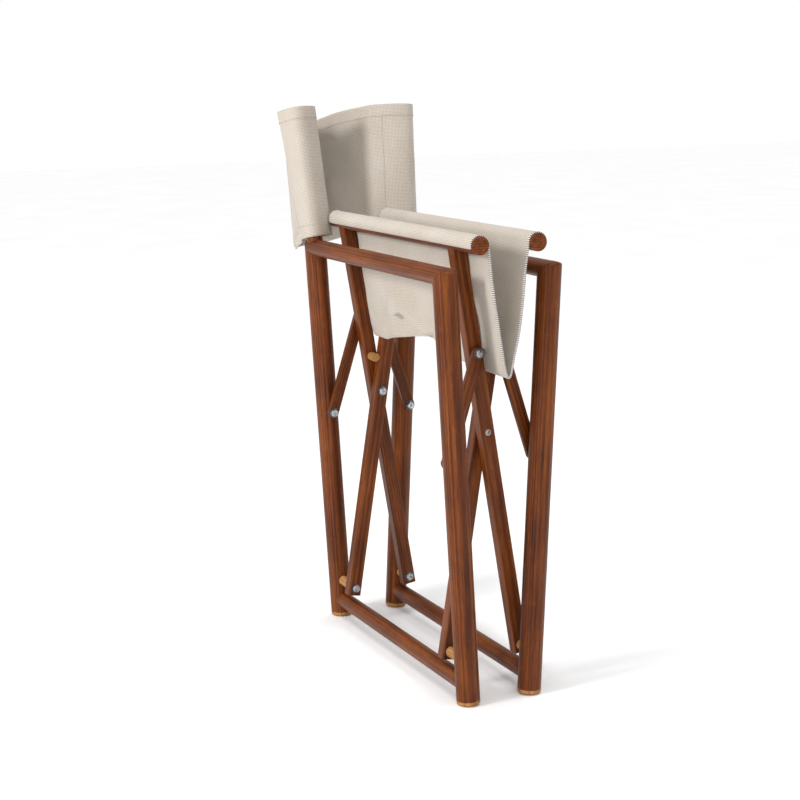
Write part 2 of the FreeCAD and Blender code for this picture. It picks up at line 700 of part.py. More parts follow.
for item in doc.Objects:
    if "Invalid" in item.State or "Error" in item.State:
        raise RuntimeError(f"{item.Label} failed: {item.State}")
for node in nodes:
    if node.Shape.isNull() or not node.Shape.isValid():
        raise RuntimeError(f"{node.Label} has no valid shape")

os.makedirs("parts", exist_ok=True)
for node in nodes:
    node.Shape.exportStep(f"parts/{node.Label}.step")
    print(f"{node.Label:26s} solids {len(node.Shape.Solids)}  volume {node.Shape.Volume / 1000:9.2f} cm3")
print(len(nodes), "nodes")
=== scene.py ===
import math

import bpy
from mathutils import Matrix, Vector, noise


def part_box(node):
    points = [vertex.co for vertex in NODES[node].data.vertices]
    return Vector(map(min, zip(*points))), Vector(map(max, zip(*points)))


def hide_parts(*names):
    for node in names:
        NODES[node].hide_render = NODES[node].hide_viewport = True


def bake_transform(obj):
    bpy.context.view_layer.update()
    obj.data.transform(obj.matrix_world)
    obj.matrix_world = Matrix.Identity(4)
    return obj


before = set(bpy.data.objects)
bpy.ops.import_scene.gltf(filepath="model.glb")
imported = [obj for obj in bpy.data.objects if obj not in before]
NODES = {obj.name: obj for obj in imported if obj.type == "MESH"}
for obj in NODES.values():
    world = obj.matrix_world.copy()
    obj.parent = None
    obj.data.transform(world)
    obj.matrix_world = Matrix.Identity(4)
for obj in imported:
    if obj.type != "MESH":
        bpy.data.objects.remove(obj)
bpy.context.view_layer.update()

LEFT, RIGHT = -1, 1
SIDES = {LEFT: "left", RIGHT: "right"}
CLOTH = 0.0014          # canvas thickness, metres
HEM = 0.0026            # canvas folded over itself at a hem


# ---------------------------------------------------------------- camera
LENS, SENSOR = 75.52, 36.0                         # mm
LOOKS_ALONG = Vector((0.41578624, 0.88889862, -0.19230456))
PICTURE_RIGHT = Vector((0.90455854, -0.42612222, -0.01391781))
CAMERA_X, CAMERA_FROM_POST, CAMERA_Z = -1.1157, -2.0567, 0.9058
CAMERA_REACH = 100.0


def make_camera():
    """The camera at the photograph's view, placed from the left front post."""
    low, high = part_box("left_front_post")
    data = bpy.data.cameras.new("camera")
    data.lens, data.sensor_width = LENS, SENSOR
    data.clip_end = CAMERA_REACH
    camera = bpy.data.objects.new("camera", data)
    up = PICTURE_RIGHT.cross(LOOKS_ALONG)
    turn = Matrix((PICTURE_RIGHT, up, -LOOKS_ALONG)).transposed()
    place = Vector((CAMERA_X, (low.y + high.y) / 2 + CAMERA_FROM_POST, CAMERA_Z))
    camera.matrix_world = Matrix.Translation(place) @ turn.to_4x4()
    bpy.context.scene.collection.objects.link(camera)
    bpy.context.scene.camera = camera


# ---------------------------------------------------------------- materials
BLACK, WHITE = (0.0, 0.0, 0.0), (1.0, 1.0, 1.0)
MIX_FACTOR, MIX_A, MIX_B, MIX_RESULT = 0, 6, 7, 2  # a colour Mix node's sockets


class Shader:
    """The nodes of a material or world being built, and short ways to add to them."""

    def __init__(self, owner, surface="Principled BSDF"):
        owner.use_nodes = True
        self.owner = owner
        self.tree = owner.node_tree
        self.surface = self.tree.nodes[surface]

    def add(self, kind, settings=(), **inputs):
        """A node with its settings, and its inputs by name: a value, or an output to link."""
        node = self.tree.nodes.new(kind)
        for key, value in dict(settings).items():
            setattr(node, key, value)
        for key, value in inputs.items():
            self.put(node, key.replace("_", " "), value)
        return node

    def put(self, node, key, value):
        """Sets an input by its name or number, or links an output to it."""
        if isinstance(value, bpy.types.NodeSocket):
            self.tree.links.new(value, node.inputs[key])
        else:
            node.inputs[key].default_value = value

    def math(self, operation, *values):
        """The output of one Math node."""
        node = self.add("ShaderNodeMath", {"operation": operation})
        for number, value in enumerate(values):
            self.put(node, number, value)
        return node.outputs[0]

    def weighted(self, start, *parts):
        """start plus each part's value times its share."""
        for value, share in parts:
            start = self.math("ADD", start, self.math("MULTIPLY", value, share))
        return start

    def ramp(self, factor, *stops):
        """A colour ramp's output through (place, colour) stops."""
        node = self.add("ShaderNodeValToRGB", Fac=factor)
        ramp = node.color_ramp
        while len(ramp.elements) < len(stops):
            ramp.elements.new(0.5)
        for element, (place, colour) in zip(ramp.elements, stops):
            element.position = place
            element.color = (*colour, 1.0)
        return node.outputs[0]

    def mix(self, factor, a, b, blend="MIX"):
        """The output of one colour mix."""
        node = self.add("ShaderNodeMix", {"data_type": "RGBA", "blend_type": blend})
        for socket, value in ((MIX_FACTOR, factor), (MIX_A, a), (MIX_B, b)):
            self.put(node, socket, value)
        return node.outputs[MIX_RESULT]

    def scaled(self, vector, scale):
        """Places stretched or squeezed along each axis."""
        return self.add("ShaderNodeMapping", Vector=vector, Scale=scale).outputs[0]

    def noise(self, vector, scale, detail, distortion=0.0):
        """A noise texture's value."""
        return self.add("ShaderNodeTexNoise", Vector=vector, Scale=scale, Detail=detail,
                        Distortion=distortion).outputs[0]

    def bump(self, height, distance, strength, under=None):
        """A bump normal from a height, over another bump normal."""
        node = self.add("ShaderNodeBump", Height=height, Distance=distance, Strength=strength)
        if under is not None:
            self.put(node, "Normal", under)
        return node.outputs[0]

    def finish(self, **inputs):
        """Sets the surface's inputs and returns the material or world."""
        for key, value in inputs.items():
            self.put(self.surface, key.replace("_", " "), value)
        return self.owner


NOISE_DIP = 0.1         # a noise raises the roughness from this far below the given one

# Wood: how much rings, streaks and patches show, and where the rings' middle lies, in metres.
RING_SHARE, STREAK_SHARE, PATCH_SHARE = 0.16, 0.66, 0.34
RINGS_BESIDE, RINGS_SPREAD_X, RINGS_SPREAD_Y, CUT_STEP = 0.031, 0.011, 0.024, 0.37
PORE_DARK, PORE_MIDDLE = 0.45, 0.5
WEAR_PALE, WEAR_DULL, STREAK_DULL = 0.22, 0.1, 0.22
STAIN = ((0.036, 0.0066, 0.0010), (0.138, 0.0315, 0.0038), (0.250, 0.0680, 0.0090))
BARE = ((0.22, 0.095, 0.028), (0.40, 0.19, 0.062), (0.52, 0.28, 0.105))


def wood(name, grain, tones, seed, coat, rough):
    """Solid wood with its grain along a direction: growth rings, pores, streaks and wear."""
    dark, middle, pale = tones
    shader = Shader(bpy.data.materials.new(name))
    place = shader.add("ShaderNodeTexCoord").outputs["Object"]
    turn = Vector(grain).normalized().rotation_difference(Vector((0, 0, 1))).to_euler()
    offset = (RINGS_BESIDE + RINGS_SPREAD_X * math.sin(seed * 2.1),
              RINGS_SPREAD_Y * math.cos(seed * 1.3), CUT_STEP * seed)
    along = shader.add("ShaderNodeMapping", Vector=place, Rotation=turn,
                       Location=offset).outputs[0]
    drawn = shader.scaled(along, (1.0, 1.0, 0.045))
    rings = shader.add("ShaderNodeTexWave", {"wave_type": "RINGS", "rings_direction": "Z"},
                       Vector=drawn, Scale=88.0, Distortion=2.2, Detail=3.0, Detail_Scale=28.0,
                       Detail_Roughness=0.6).outputs[1]
    streaks = shader.noise(drawn, scale=150.0, detail=5.0, distortion=0.4)
    patches = shader.noise(along, scale=9.0, detail=3.0)
    pores = shader.noise(shader.scaled(along, (1.0, 1.0, 0.03)), scale=1500.0, detail=2.0)
    pore_lines = shader.ramp(pores, (0.38, BLACK), (0.5, WHITE))
    figure = shader.weighted(0.0, (rings, RING_SHARE), (streaks, STREAK_SHARE),
                             (patches, PATCH_SHARE))
    colour = shader.ramp(figure, (0.36, dark), (0.58, middle), (0.80, pale))
    in_pores = shader.math("MULTIPLY_ADD", pore_lines, -PORE_DARK, PORE_MIDDLE)
    colour = shader.mix(in_pores, colour, (*dark, 1.0))
    wear = shader.ramp(shader.noise(along, scale=42.0, detail=6.0), (0.63, BLACK), (0.74, WHITE))
    colour = shader.mix(shader.math("MULTIPLY", wear, WEAR_PALE), colour, (*pale, 1.0))
    dull = shader.weighted(rough - NOISE_DIP, (streaks, STREAK_DULL), (wear, WEAR_DULL))
    relief = shader.bump(pore_lines, distance=0.00012, strength=0.5)
    relief = shader.bump(figure, distance=0.0006, strength=0.35, under=relief)
    return shader.finish(Base_Color=colour, Roughness=dull, Normal=relief, Coat_Weight=coat,
                         Coat_Roughness=0.28, Specular_IOR_Level=0.16)


GRIME_TONE, GRIME_DULL = 0.42, 0.28                # metal: its dark spots' tone and dullness


def metal(name, tone, rough, scratch):
    """Plated steel: fine turning scratches, dull spots and a little grime."""
    shader = Shader(bpy.data.materials.new(name))
    place = shader.add("ShaderNodeTexCoord").outputs["Object"]
    spots = shader.noise(place, scale=260.0, detail=5.0)
    lines = shader.noise(shader.scaled(place, (1.0, 0.2, 1.0)), scale=2600.0, detail=2.0)
    dark = tuple(GRIME_TONE * part for part in tone)
    colour = shader.ramp(spots, (0.36, dark), (0.6, tone))
    dull = shader.weighted(rough - NOISE_DIP, (spots, GRIME_DULL))
    relief = shader.bump(lines, distance=0.00008, strength=scratch)
    return shader.finish(Base_Color=colour, Metallic=1.0, Roughness=dull, Normal=relief)


# Canvas, in metres: from yarn to yarn, the selvage's width and its dots' spacing.
YARN_PITCH, SELVAGE, DOT_PITCH = 0.0023, 0.0032, 0.0030
YARN_DARK, YARN_MIDDLE, YARN_PALE = (0.27, 0.235, 0.192), (0.47, 0.42, 0.362), (0.62, 0.57, 0.505)
DOT_DARK, DOT_PALE, AGED = (0.20, 0.18, 0.155), (0.78, 0.75, 0.70), (0.93, 0.90, 0.86)
WEAVE_SHARE, SLUB_SHARE, SLUB_RAISED = 0.62, 0.36, 0.5


def canvas(name, width=None):
    """Heavy twill canvas on the cloth map; with a width in metres, its two ends are selvages."""
    shader = Shader(bpy.data.materials.new(name))
    cloth = shader.add("ShaderNodeUVMap", {"uv_map": "cloth"}).outputs[0]
    split = shader.add("ShaderNodeSeparateXYZ", Vector=cloth)
    across, down = split.outputs[0], split.outputs[1]
    yarns_on = math.tau / YARN_PITCH
    warp = shader.math("SINE", shader.math("MULTIPLY", across, yarns_on))
    weft = shader.math("SINE", shader.math("MULTIPLY", down, yarns_on))
    slant = shader.math("MULTIPLY", shader.math("ADD", across, down), yarns_on / 2.0)
    over = shader.math("MULTIPLY_ADD", shader.math("SINE", slant), 0.5, 0.5)
    yarns = shader.mix(over, warp, weft)
    weave = shader.add("ShaderNodeMapRange", Value=yarns, From_Min=-1.0).outputs[0]
    slubs = shader.noise(shader.scaled(cloth, (1.0, 9.0, 1.0)), scale=120.0, detail=3.0)
    stains = shader.noise(cloth, scale=14.0, detail=4.0)
    thread = shader.weighted(0.0, (weave, WEAVE_SHARE), (slubs, SLUB_SHARE))
    colour = shader.ramp(thread, (0.14, YARN_DARK), (0.46, YARN_MIDDLE), (0.85, YARN_PALE))
    aged = shader.ramp(stains, (0.35, AGED), (0.65, WHITE))
    colour = shader.mix(1.0, colour, aged, "MULTIPLY")
    if width is not None:
        from_middle = shader.math("ABSOLUTE", shader.math("SUBTRACT", across, width / 2.0))
        rim = shader.math("GREATER_THAN", from_middle, width / 2.0 - SELVAGE)
        dots = shader.math("SINE", shader.math("MULTIPLY", down, math.tau / DOT_PITCH))
        colour = shader.mix(rim, colour, shader.ramp(dots, (0.25, DOT_DARK), (0.5, DOT_PALE)))
    relief = shader.bump(shader.weighted(weave, (slubs, SLUB_RAISED)), distance=0.00035,
                         strength=0.4)
    return shader.finish(Base_Color=colour, Roughness=0.88, Normal=relief, Sheen_Weight=0.18,
                         Sheen_Roughness=0.55, Specular_IOR_Level=0.2)


def thread_material():
    """Twisted sewing thread, a little darker than the canvas."""
    shader = Shader(bpy.data.materials.new("thread"))
    place = shader.add("ShaderNodeTexCoord").outputs["Object"]
    fibres = shader.noise(place, scale=2400.0, detail=3.0)
    colour = shader.ramp(fibres, (0.35, (0.34, 0.30, 0.25)), (0.65, (0.54, 0.49, 0.43)))
    relief = shader.bump(fibres, distance=0.0002, strength=0.6)
    return shader.finish(Base_Color=colour, Roughness=0.75, Normal=relief)


# ---------------------------------------------------------------- cloth
CURVE_STEPS = 24        # points of a smooth curve from one given point to the next
CORNERS = 6             # of a stitch's cross-section
STITCH_RINGS = ((-0.5, 0.35), (-0.3, 0.9), (0.0, 1.1), (0.3, 0.9), (0.5, 0.35))  # (along, size)
STITCH_ARCH, STITCH_LEVEL = 0.35, 0.6              # how far thick rings rise, and the level size
ENDS_FREE, FOLD_FREE = 1, 2                        # grid lines without stitches


def spline(points, step):
    """(points evenly spaced on a smooth curve through the given points, the curve's length)."""
    ends = [2 * points[0] - points[1], *points, 2 * points[-1] - points[-2]]
    dense = []
    for before, start, end, after in zip(ends, ends[1:], ends[2:], ends[3:]):
        for number in range(CURVE_STEPS):
            t = number / CURVE_STEPS
            dense.append(0.5 * (2 * start + (end - before) * t
                                + (2 * before - 5 * start + 4 * end - after) * t ** 2
                                + (3 * start - before - 3 * end + after) * t ** 3))
    dense.append(points[-1])
    return resample(dense, step)


def resample(dense, step):
    """(points evenly spaced along a line of points, the line's length)."""
    lengths = [0.0]
    for a, b in zip(dense, dense[1:]):
        lengths.append(lengths[-1] + (b - a).length)
    total = lengths[-1]
    count = max(2, round(total / step))
    found, at = [], 0
    for number in range(count + 1):
        wanted = total * number / count
        while at < len(lengths) - 2 and lengths[at + 1] < wanted:
            at += 1
        share = (wanted - lengths[at]) / max(lengths[at + 1] - lengths[at], 1e-9)
        found.append(dense[at].lerp(dense[at + 1], min(max(share, 0.0), 1.0)))
    return found, total


def pick(points, steps):
    """steps + 1 of a line's points, spread evenly from its first to its last."""
    return [points[round(number / steps * (len(points) - 1))] for number in range(steps + 1)]


def make_object(name, vertices, faces):
    """A smooth mesh object in the scene."""
    mesh = bpy.data.meshes.new(name)
    mesh.from_pydata(vertices, [], faces)
    mesh.polygons.foreach_set("use_smooth", [True] * len(mesh.polygons))
    piece = bpy.data.objects.new(name, mesh)
    bpy.context.scene.collection.objects.link(piece)
    return piece


def cloth_sheet(name, grid, across, down, hem_rows=(), hem_columns=()):
    """A sheet through a grid of points, doubled along its hems.

    across and down are each column's and each row's place on the flat cloth, in metres.
    """
    columns = len(across)
    points = [point for row in grid for point in row]
    faces = [(r * columns + c, r * columns + c + 1,
              (r + 1) * columns + c + 1, (r + 1) * columns + c)
             for r in range(len(grid) - 1) for c in range(columns - 1)]
    piece = make_object(name, points, faces)
    flat = piece.data.uv_layers.new(name="cloth")
    for loop in piece.data.loops:
        row, column = divmod(loop.vertex_index, columns)
        flat.data[loop.index].uv = (across[column], down[row])
    double = piece.vertex_groups.new(name="double")
    for number in hem_rows:
        double.add([number * columns + c for c in range(columns)], 1.0, "REPLACE")
    for number in hem_columns:
        double.add([r * columns + number for r in range(len(grid))], 1.0, "REPLACE")
    soft = piece.modifiers.new("soft", "SUBSURF")
    soft.levels = soft.render_levels = 1
    solid = piece.modifiers.new("thickness", "SOLIDIFY")
    solid.thickness, solid.offset = HEM, 0.0
    solid.vertex_group, solid.thickness_vertex_group = "double", CLOTH / HEM
    solid.use_even_offset = True
    return piece


def stitches(name, rows, pitch, long, thick):
    """Rows of lock stitches: each row is a list of (point, outward) along the seam, on one face."""
    vertices, faces = [], []
    for row in rows:
        line, _ = resample([point for point, _ in row], pitch / 2)
        for number in range(0, len(line) - 1, 2):
            start, end = line[number], line[number + 1]
            run = (end - start).normalized()
            centre = (start + end) / 2
            _, out = row[min(round(number / len(line) * len(row)), len(row) - 1)]
            side = run.cross(out).normalized()
            first = len(vertices)
            for along, size in STITCH_RINGS:
                middle = (centre + run * (along * long)
                          + out * (thick * STITCH_ARCH * (size - STITCH_LEVEL)))
                for corner in range(CORNERS):
                    angle = math.tau * corner / CORNERS
                    spoke = side * math.cos(angle) + out * math.sin(angle)
                    vertices.append(middle + spoke * thick * size)
            last = first + (len(STITCH_RINGS) - 1) * CORNERS
            for ring in range(first, last, CORNERS):
                for corner in range(CORNERS):
                    a = ring + corner
                    b = ring + (corner + 1) % CORNERS
                    faces.append((a, b, b + CORNERS, a + CORNERS))
            faces.append(tuple(first + corner for corner in reversed(range(CORNERS))))
            faces.append(tuple(last + corner for corner in range(CORNERS)))
    return make_object(name, vertices, faces)


def surface_row(grid, side, lift, row=None, column=None):
    """(point, outward) along a row or a column of a grid, lifted off the face to one side.

    A row or column may lie between two grid lines. Rows stop short of the last column, which is
    the fold where the left and right halves meet.
    """
    found = []
    rows, columns = len(grid), len(grid[0])
    if row is not None:
        low = int(row)
        places = [(low, row - low, c, 0.0) for c in range(ENDS_FREE, columns - FOLD_FREE)]
    else:
        low = int(column)
        places = [(r, 0.0, low, column - low) for r in range(ENDS_FREE, rows - ENDS_FREE)]
    for r, share_r, c, share_c in places:
        below, beside = grid[min(r + 1, rows - 1)][c], grid[r][min(c + 1, columns - 1)]
        point = grid[r][c].lerp(below, share_r)
        point = point.lerp(beside, share_c) if share_c else point
        run_r = below - grid[max(r - 1, 0)][c]
        run_c = beside - grid[r][max(c - 1, 0)]
        out = run_c.cross(run_r).normalized() * side
        found.append((point + out * lift, out))
    return found


def ease(value, start, end):
    """0 before start, 1 after end, and smooth between."""
    t = min(max((value - start) / (end - start), 0.0), 1.0)
    return t * t * (3 - 2 * t)


def bell(distance, width):
    """1 at no distance, falling smoothly to 0 beyond a width."""
    return math.exp(-(distance / width) ** 2)


def ripple(point, size, height, seed):
    """A slow random rise and fall over a surface."""
    return height * noise.noise(point / size + Vector((seed, 2.3 * seed, -seed)))


# ---------------------------------------------------------------- seat canvas
# Metres. Places along the seat count from its front edge, heights from the floor.
RAIL_X, RAIL_Z, WRAP = 0.04541, 0.67063, 0.01375   # the rail's axis and the canvas's radius on it
SEAT_FRONT, SEAT_LONG, SEAT_UNDER = -0.37224, 0.497, 200.0  # the last is degrees round the rail
SEAT_STEP, SEAT_FINE, SEAT_COLUMNS = 0.0040, 1.0e-3, 112
OVER_STEPS, DOWN_STEPS = 40, 30                    # points round the rail and down the wall
FOLD, FOLD_HALF, FOLD_ANGLES = 0.0034, 0.0034 * 0.85, (25, 50, 72, 90)
WALL_SAG = 0.0022
REAR_SLANT, REAR_FROM = 0.051, 0.36                # the rear edge slants forward to the fold
BOTTOM_LINE = ((0.0, 0.4818), (0.062, 0.4826), (0.15, 0.4868), (0.215, 0.5010), (0.243, 0.5085),
               (0.29, 0.5030), (0.364, 0.4910), (0.434, 0.4820), (0.447, 0.4825), (0.497, 0.4830))
BOTTOM_SHIFTS = (-0.012, -0.006, 0.0, 0.006, 0.012)  # averaged, they round the line's corners
# The buckle in the left wall: its ridge, and the lip above it and dent below as (size, reach).
BUCKLE = ((0.343, 0.532), (0.318, 0.541), (0.296, 0.534), (0.276, 0.5255), (0.246, 0.5155))
RIDGE_SOFT = 0.0028
LIP_OUT, LIP_DROP = (0.0100, 0.030), (0.0085, 0.016)
DENT_IN, DENT_RISE = (0.0090, 0.019), (0.0030, 0.010)
FLUTTER, FLUTTER_END, FLUTTER_WAVES = {LEFT: 0.0028, RIGHT: 0.0009}, 0.10, 95.0
HOLLOW, HOLLOW_AT, HOLLOW_WIDE = 0.003, 0.24, 0.05  # in the right wall
LEGS_AT, LEG_WIDE, MOST_OUT = (0.082, 0.47), 0.03, 0.010  # no push out beside the legs
SELVAGE_SEAM, SEAM_LIFT = 1.15, CLOTH * 0.6        # columns in from the edge, and off the middle
SEAT_STITCH = (0.0026, 0.0015, 0.00026)            # pitch, length, thickness


def on_line(line, place):
    """The height of a broken line at a place."""
    for (start, low), (end, high) in zip(line, line[1:]):
        if place <= end:
            return low + (high - low) * (place - start) / (end - start)
    return line[-1][1]


def seat_profile(place):
    """Points (x, z, 0) across the canvas at a place: under and over the rail, down to the fold."""
    bottom = sum(on_line(BOTTOM_LINE, min(max(place + shift, 0.0), SEAT_LONG))
                 for shift in BOTTOM_SHIFTS) / len(BOTTOM_SHIFTS)
    points = []
    for number in range(OVER_STEPS + 1):
        angle = math.radians(SEAT_UNDER * (1 - number / OVER_STEPS))
        points.append(Vector((RAIL_X - WRAP * math.cos(angle),
                              RAIL_Z + WRAP * math.sin(angle), 0.0)))
    wall_x = RAIL_X - WRAP
    for number in range(1, DOWN_STEPS + 1):
        t = number / DOWN_STEPS
        x = wall_x + (FOLD_HALF - wall_x) * t
        sag = WALL_SAG * math.sin(math.pi * t)
        points.append(Vector((x + sag, RAIL_Z + (bottom + FOLD - RAIL_Z) * t, 0.0)))
    for angle in map(math.radians, FOLD_ANGLES):
        points.append(Vector((FOLD_HALF * math.cos(angle),
                              bottom + FOLD - FOLD * math.sin(angle), 0.0)))
    return points


def to_buckle(place, height):
    """(distance to the buckle's ridge, how far below it) of a place on the left wall."""
    spot = Vector((place, height))
    best = (1.0, 0.0)
    for a, b in zip(map(Vector, BUCKLE), map(Vector, BUCKLE[1:])):
        share = min(max((spot - a).dot(b - a) / (b - a).length_squared, 0.0), 1.0)
        near = a.lerp(b, share)
        distance = (spot - near).length
        if distance < best[0]:
            best = (distance, near.y - height)
    return best


def seat_point(side, place, wall, profile):
    """A point of the seat canvas; wall is 0 at the rail's inner side and 1 at the fold."""
    rear = REAR_SLANT * ease(place, REAR_FROM, SEAT_LONG) * ease(wall, 0.15, 1.0)
    point = Vector((side * profile.x, SEAT_FRONT + place - rear, profile.y))
    free = ease(wall, 0.04, 0.3) * (1 - ease(wall, 0.95, 1.0))
    push = ripple(point, 0.085, 0.0034, 3.0 + side) + ripple(point, 0.03, 0.0008, 8.0 + side)
    front = 1 - ease(place, 0.0, FLUTTER_END)
    wave = math.sin(place * FLUTTER_WAVES + 0.8 + side)
    push += FLUTTER[side] * front * wave * ease(wall, 0.1, 0.5)
    if side == LEFT:
        distance, below = to_buckle(place, point.z)
        over = 0.5 - 0.5 * math.tanh(below / RIDGE_SOFT)
        push += over * LIP_OUT[0] * bell(distance, LIP_OUT[1])
        push -= (1 - over) * DENT_IN[0] * bell(distance, DENT_IN[1])
        point.z -= over * LIP_DROP[0] * bell(distance, LIP_DROP[1]) * free
        point.z += (1 - over) * DENT_RISE[0] * bell(distance, DENT_RISE[1]) * free
    else:
        push -= HOLLOW * bell(place - HOLLOW_AT, HOLLOW_WIDE) * ease(wall, 0.5, 0.9)
    leg = max(bell(place - spot, LEG_WIDE) for spot in LEGS_AT)
    point.x += side * min(push, MOST_OUT * (1 - leg)) * free
    point.x = side * max(side * point.x, 0.0)
    return point


def seat_cloth(side):
    """One half of the seat canvas: wrapped over its rail and hanging to the middle fold."""
    name = SIDES[side]
    across = [SEAT_LONG * c / SEAT_COLUMNS for c in range(SEAT_COLUMNS + 1)]
    profiles, lengths = zip(*(resample(seat_profile(place), SEAT_FINE) for place in across))
    total = max(lengths)
    rows = round(total / SEAT_STEP)
    over_share = math.radians(SEAT_UNDER) * WRAP / total
    lines = [pick(profile, rows) for profile in profiles]
    grid = []
    for r in range(rows + 1):
        wall = max(0.0, (r / rows - over_share) / (1 - over_share))
        grid.append([seat_point(side, place, wall, line[r]) for place, line in zip(across, lines)])
    down = [total * r / rows for r in range(rows + 1)]
    piece = cloth_sheet(f"{name}_seat_cloth", grid, across, down, hem_columns=(0, SEAT_COLUMNS))
    piece.data.materials.append(MATERIALS["seat_canvas"])
    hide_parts(f"{name}_seat_wrap", f"{name}_seat_canvas")
    seam = stitches(f"{name}_seat_stitches", [
        surface_row(grid, -side, SEAM_LIFT, column=column)
        for column in (SELVAGE_SEAM, SEAT_COLUMNS - SELVAGE_SEAM)], *SEAT_STITCH)
    seam.data.materials.append(MATERIALS["thread"])
    for part in (piece, seam):
        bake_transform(part)


# ---------------------------------------------------------------- back canvas
# Metres, and mm in the loops. Heights run up the upright: loop_point's from the arm's top, the
# cloth's own from the band's lower edge.
UPRIGHT_X, UPRIGHT_LEAN = 0.08396, 0.0515
UPRIGHT = Vector((UPRIGHT_X, 0.12576, 0.63991))    # the right upright at the arm's top
BAND_LOW, BAND_MIDDLE, BAND_HALF, BAND = 0.004, 0.109, 0.105, 0.210
DEPTH_MM = 225.5
DEPTH = DEPTH_MM / 1000
FOLD_X = 0.0305                                    # the slack's fold, left of the middle
# Each loop is seen from above, as (inward, backward) from the upright; a word instead of the
# first number is a place that moves with the height.
LEFT_LOOP = (
    ("fold", DEPTH_MM), ("near fold", 221.5), (40, 165), (19, 100), (1, 62), ("seam", 36),
    (-15, 8), (-10.5, -10.5), (0, -15.2), (12, -12.3), (24, -5.5), (33, 5), (31.5, 13.5),
    (14, 18.5), (-4, 32), ("inner", 35.5))
RIGHT_LOOP = (
    (36.5, 0.5), (22, 8.5), (5, 16.5), (-8, 14), (-15, 2), (-11.5, -9.5), (0, -15.2), (20, -11.5),
    (38, -2), (50, 6.5), (57, 14), (63, 35), (72, 62), (79, 100), (87, 160), (106, 200),
    ("near fold", 219), ("fold", DEPTH_MM))
NEAR_FOLD = {LEFT: -2.4, RIGHT: -3.6}
SEAM_IN, INNER_IN, POCKET_TAPER = -14, -12.4, 6
WALL_TAPER, WALL_FROM = 5.4, 60                    # further out with height, past this depth
BACK_STEP, BACK_FINE = 0.0048, 0.0006
LOW_HEM = (0.0, 0.006, 0.0125, 0.0185, 0.0200)     # heights of the rows in a hem
HIGH_HEM = (0.1915, 0.1975, 0.204, 0.210)
BETWEEN, BETWEEN_ROWS, HEM_ROWS = 0.170, 30, 4
DROOP = -0.0065
BULGE, BULGE_HEIGHT, BULGE_BACK = 0.010, (0.052, 0.040), (0.085, 0.045)  # (middle, reach)
HEM_SEAM, HEM_SEAM_LIFT, POCKET_SEAM_LIFT = 0.7, HEM * 0.5, CLOTH * 0.62
BACK_STITCH = (0.0036, 0.0027, 0.00042)            # pitch, length, thickness
# The CAD parts that each side's sewn back cloth stands in for; back_cloth hides them.
REPLACED = {LEFT: ("left_back_sleeve", "left_back_wall"),
            RIGHT: ("right_back_sleeve", "right_back_lap", "right_back_wall")}


def upright_axes(side):
    """(foot, inward, backward, up) of an upright in the row frame."""
    foot = Vector((side * UPRIGHT.x, UPRIGHT.y, UPRIGHT.z))
    return (foot, Vector((-side * 0.99863, 0, 0.052336)),
            Vector((-side * 0.009088, 0.98481, -0.17341)),
            Vector((side * 0.051541, 0.173648, 0.983458)))


def loop_point(side, mark, height):
    """A mark of a loop as (inward, backward, 0) in metres at a height up the upright."""
    inward, backward = mark
    rise = (height - BAND_MIDDLE) / BAND_HALF
    fold = (UPRIGHT_X + UPRIGHT_LEAN * height + side * FOLD_X) * 1000
    if inward == "fold":
        inward = fold
    elif inward == "near fold":
        inward = fold + NEAR_FOLD[side]
    elif inward == "seam":
        inward = SEAM_IN - POCKET_TAPER * rise
    elif inward == "inner":
        inward = INNER_IN - POCKET_TAPER * rise
    elif backward > WALL_FROM:
        inward += WALL_TAPER * rise * backward / DEPTH_MM
    return Vector((inward / 1000, backward / 1000, 0.0))


def back_loop(side, height):
    """(fine points of the cloth's line round the upright and to the fold, its length)."""
    marks = LEFT_LOOP if side == LEFT else RIGHT_LOOP
    return spline([loop_point(side, mark, height) for mark in marks], BACK_FINE)


def back_point(side, point, height):
    """A point of the back canvas, from its place on the loop at a height above the lower edge."""
    foot, inward, back, up = upright_axes(side)
    place = foot + inward * point.x + back * point.y + up * (BAND_LOW + height)
    slack = ease(point.y, 0.03, 0.09) * (1 - ease(point.y, 0.19, 0.225))
    droop = DROOP * (point.y / DEPTH) ** 2 * ease(point.y, 0.02, 0.225)
    wave = ripple(place, 0.07, 0.0050, 5.0 + side) + ripple(place, 0.028, 0.0012, 9.0 + side)
    between_edges = math.sin(math.pi * height / BAND)
    if side == RIGHT:
        (middle, high), (deep, reach) = BULGE_HEIGHT, BULGE_BACK
        wave += BULGE * bell(height - middle, high) * bell(point.y - deep, reach)
    place += inward * (wave * slack * (0.45 + 0.55 * between_edges)) + Vector((0, 0, droop))
    if slack == 0.0 or point.y < 0.045:
        place += back * ripple(place, 0.035, 0.0007, 12.0 + side)
    return place


